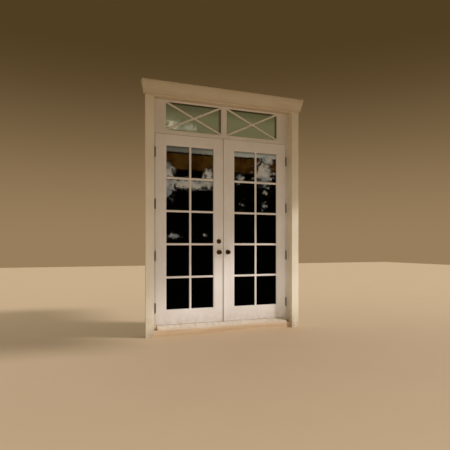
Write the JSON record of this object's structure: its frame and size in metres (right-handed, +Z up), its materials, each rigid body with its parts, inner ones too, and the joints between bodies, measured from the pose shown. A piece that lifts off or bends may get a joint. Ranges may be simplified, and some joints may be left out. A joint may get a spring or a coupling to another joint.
{
  "type": "french doors",
  "caption": "Pair of outward-opening glazed doors in their frame, with an X-barred transom light, flat casing, tall crown, hinges, knobs, deadbolt and shoot bolts.",
  "frame": {"origin": "on the floor under the middle of the doorway, in the plane of the leaves' outer faces", "axes": "+Z up, +X to the right seen from outside, +Y into the house"},
  "size_m": [2.224, 0.275, 3.134],
  "materials": {
    "leaf_paint": "satin cream paint",
    "frame_paint": "satin cream paint",
    "trim_paint": "satin cream paint",
    "threshold_paint": "worn paint",
    "sill_stone": "honed",
    "door_glass": "clear",
    "transom_glass": "clear",
    "spacer_metal": "satin",
    "seal_rubber": "matte",
    "hinge_bronze": "oiled dark bronze",
    "knob_bronze": "oiled dark bronze",
    "bolt_metal": "satin dark bronze"
  },
  "bodies": {
    "frame": {"stone_sill": "sill_stone", "threshold": "threshold_paint", "left_jamb": "frame_paint", "right_jamb": "frame_paint", "head_jamb": "frame_paint", "transom_bar": "frame_paint", "transom_left_stile": "frame_paint", "transom_right_stile": "frame_paint", "transom_mullion": "frame_paint", "transom_top_rail": "frame_paint", "left_transom_pane": "transom_glass", "right_transom_pane": "transom_glass", "left_transom_bars": "frame_paint", "right_transom_bars": "frame_paint", "transom_beads": "frame_paint", "frame_seals": "seal_rubber", "left_reveal_board": "trim_paint", "right_reveal_board": "trim_paint", "head_reveal_board": "trim_paint", "left_casing": "trim_paint", "right_casing": "trim_paint", "head_casing": "trim_paint", "crown": "trim_paint", "left_jamb_hinge_plates": "hinge_bronze", "right_jamb_hinge_plates": "hinge_bronze", "hinge_pins": "hinge_bronze"},
    "left_leaf": {"left_hinge_stile": "leaf_paint", "left_lock_stile": "leaf_paint", "left_top_rail": "leaf_paint", "left_bottom_rail": "leaf_paint", "left_glass_panes": "door_glass", "left_glass_spacer": "spacer_metal", "left_outer_bars": "leaf_paint", "left_inner_bars": "leaf_paint", "left_leaf_hinge_plates": "hinge_bronze", "knob_roses": "knob_bronze", "latch_case": "bolt_metal", "deadbolt_case": "bolt_metal", "deadbolt_cylinder": "knob_bronze", "deadbolt_inner_plate": "knob_bronze"},
    "right_leaf": {"right_hinge_stile": "leaf_paint", "right_lock_stile": "leaf_paint", "right_top_rail": "leaf_paint", "right_bottom_rail": "leaf_paint", "right_glass_panes": "door_glass", "right_glass_spacer": "spacer_metal", "right_outer_bars": "leaf_paint", "right_inner_bars": "leaf_paint", "right_leaf_hinge_plates": "hinge_bronze", "astragal": "leaf_paint", "outer_dummy_knob": "knob_bronze", "inner_dummy_knob": "knob_bronze", "strike_plates": "bolt_metal"},
    "knob_set": {"outer_knob": "knob_bronze", "inner_knob": "knob_bronze"},
    "latch": {"latch_bolt": "bolt_metal"},
    "turn_piece": {"thumb_turn": "knob_bronze"},
    "deadbolt": {"dead_bolt": "bolt_metal"},
    "top_bolt": {"top_shoot_bolt": "bolt_metal"},
    "bottom_bolt": {"bottom_shoot_bolt": "bolt_metal"}
  },
  "joints": [
    {"name": "left_leaf_hinge", "type": "hinge", "parent": "frame", "child": "left_leaf", "pos_m": [-0.9225, -0.008, 1.32], "axis": [0, 0, -1], "range_deg": [0, 110]},
    {"name": "right_leaf_hinge", "type": "hinge", "parent": "frame", "child": "right_leaf", "pos_m": [0.9225, -0.008, 1.32], "axis": [0, 0, 1], "range_deg": [0, 110]},
    {"name": "knob_turn", "type": "hinge", "parent": "left_leaf", "child": "knob_set", "pos_m": [-0.0723, 0.02225, 1.038], "axis": [0, 1, 0], "range_deg": [0, 60]},
    {"name": "latch_slide", "type": "slide", "parent": "left_leaf", "child": "latch", "axis": [1, 0, 0], "range_m": [0, 0.012]},
    {"name": "thumb_turn_hinge", "type": "hinge", "parent": "left_leaf", "child": "turn_piece", "pos_m": [-0.0723, 0.02225, 1.179], "axis": [0, 1, 0], "range_deg": [0, 90]},
    {"name": "deadbolt_slide", "type": "slide", "parent": "left_leaf", "child": "deadbolt", "axis": [1, 0, 0], "range_m": [0, 0.025]},
    {"name": "top_bolt_slide", "type": "slide", "parent": "right_leaf", "child": "top_bolt", "axis": [0, 0, 1], "range_m": [0, 0.015]},
    {"name": "bottom_bolt_slide", "type": "slide", "parent": "right_leaf", "child": "bottom_bolt", "axis": [0, 0, -1], "range_m": [0, 0.015]}
  ],
  "couplings": [
    {"joint": "latch_slide", "follows": "knob_turn", "m_per_rad": 0.011459},
    {"joint": "thumb_turn_hinge", "follows": "deadbolt_slide", "rad_per_m": 62.83}
  ]
}
